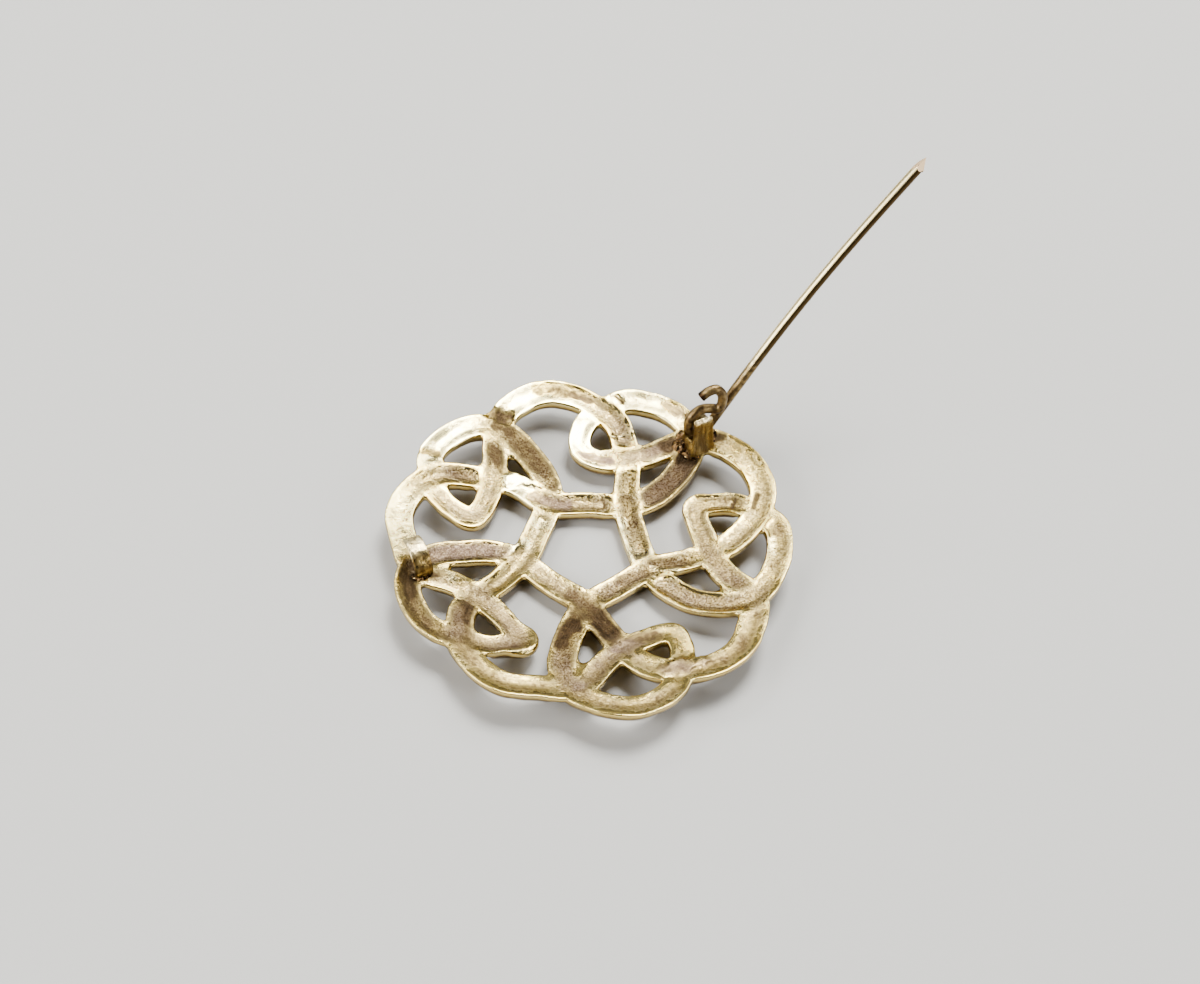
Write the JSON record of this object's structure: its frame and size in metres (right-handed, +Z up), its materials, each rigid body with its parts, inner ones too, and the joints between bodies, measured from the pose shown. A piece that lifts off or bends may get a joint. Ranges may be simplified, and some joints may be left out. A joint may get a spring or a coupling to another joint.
{
  "type": "brooch",
  "caption": "Round pierced brooch in cast brass: an interlaced knotwork disc, shown back up, with a wire pin hinged on a lug and a hooked catch.",
  "frame": {"origin": "centre of the knotwork disc, on the plane it rests on", "axes": "+Z up out of the disc's back; +Y towards the top unit of the pattern; the pin's hinge is at +X +Y"},
  "size_m": [0.0483, 0.0487, 0.0298],
  "materials": {
    "cast_brass": "cast, worn bright on the edges, dull in the channels",
    "drawn_brass_wire": "drawn wire with a brown oxide, brighter along the shaft"
  },
  "bodies": {
    "plate": {"knotwork_plate": "cast_brass"},
    "pin": {"pin": "drawn_brass_wire"}
  },
  "joints": [
    {"name": "pin_hinge", "type": "hinge", "parent": "plate", "child": "pin", "pos_m": [0.01013, 0.01389, 0.00642], "axis": [0.5123, -0.8493, 0.1271], "range_deg": [0, 137.5]}
  ]
}
